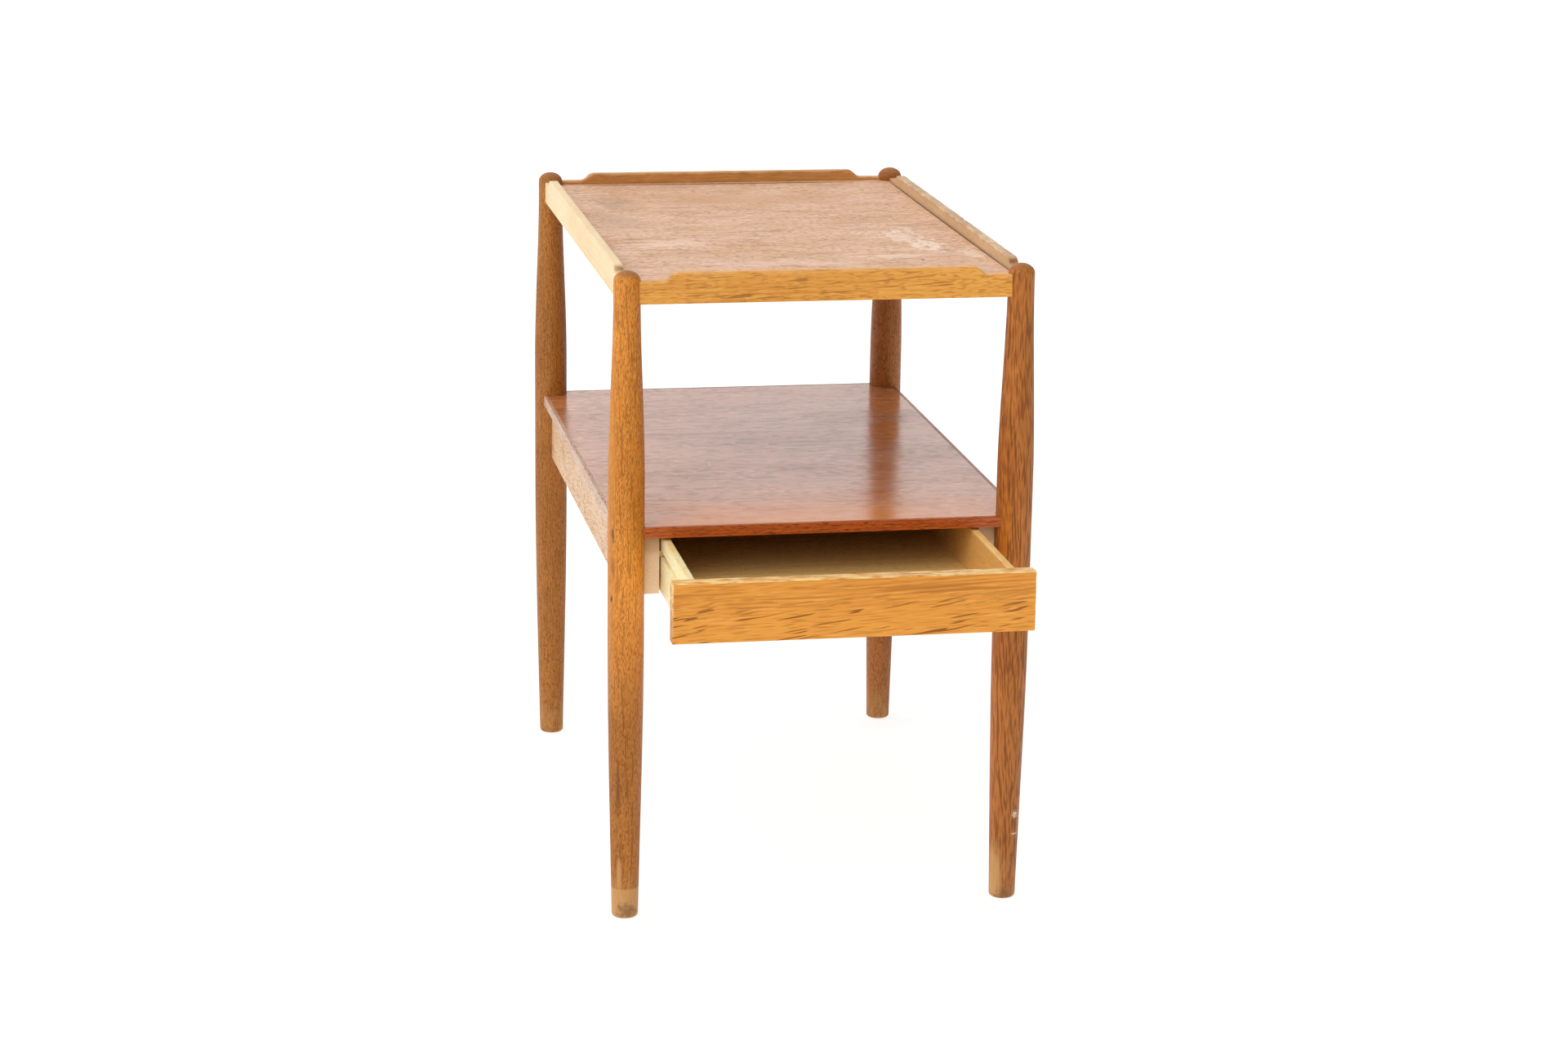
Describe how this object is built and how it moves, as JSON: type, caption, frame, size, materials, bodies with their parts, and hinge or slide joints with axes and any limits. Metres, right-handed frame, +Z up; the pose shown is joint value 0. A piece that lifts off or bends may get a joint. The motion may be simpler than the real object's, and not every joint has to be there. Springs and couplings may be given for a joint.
{
  "type": "side table with drawer",
  "caption": "Small rectangular side table on four turned legs, with a raised-rail tray top, a thin middle shelf and a plain shallow drawer that slides under the shelf.",
  "frame": {"origin": "on the floor, under the middle of the whole box with the drawer partly open as it is at rest", "axes": "+Z up, the drawer opens towards -Y, +X is to the table's right-hand side as seen looking along +Y"},
  "size_m": [0.389, 0.7225, 0.6],
  "materials": {
    "oak_legs": "waxed, worn",
    "oak_rails": "waxed",
    "teak_tray_veneer": "dry, faded",
    "teak_shelf_veneer": "satin",
    "backing_veneer": "bare",
    "panel_core": "bare",
    "teak_lipping": "satin",
    "oak_aprons": "waxed",
    "birch_runners": "bare",
    "beech_tongues": "bare",
    "steel_screws": "dull",
    "oak_drawer_front": "waxed",
    "birch_drawer": "clear lacquer",
    "drawer_ply": "bare"
  },
  "bodies": {
    "table": {"leg_front_left": "oak_legs", "leg_front_right": "oak_legs", "leg_back_left": "oak_legs", "leg_back_right": "oak_legs", "tray_rail_front": "oak_rails", "tray_rail_back": "oak_rails", "tray_rail_left": "oak_rails", "tray_rail_right": "oak_rails", "tray_face_veneer": "teak_tray_veneer", "shelf_face_veneer": "teak_shelf_veneer", "tray_backing_veneer": "backing_veneer", "shelf_backing_veneer": "backing_veneer", "tray_panel_core": "panel_core", "shelf_core": "panel_core", "shelf_lipping_front": "teak_lipping", "shelf_lipping_back": "teak_lipping", "shelf_lipping_left": "teak_lipping", "shelf_lipping_right": "teak_lipping", "side_apron_left": "oak_aprons", "side_apron_right": "oak_aprons", "rear_apron": "oak_aprons", "runner_board_left": "birch_runners", "runner_board_right": "birch_runners", "runner_tongue_left": "beech_tongues", "runner_tongue_right": "beech_tongues", "apron_dowels": "beech_tongues", "shelf_glue_blocks": "beech_tongues", "runner_screws": "steel_screws"},
    "drawer": {"drawer_front": "oak_drawer_front", "drawer_side_left": "birch_drawer", "drawer_side_right": "birch_drawer", "drawer_back": "birch_drawer", "drawer_bottom": "drawer_ply", "drawer_bottom_tacks": "steel_screws"}
  },
  "joints": [
    {"name": "drawer_slide", "type": "slide", "parent": "table", "child": "drawer", "axis": [0, -1, 0], "range_m": [-0.1455, 0.2345]}
  ]
}
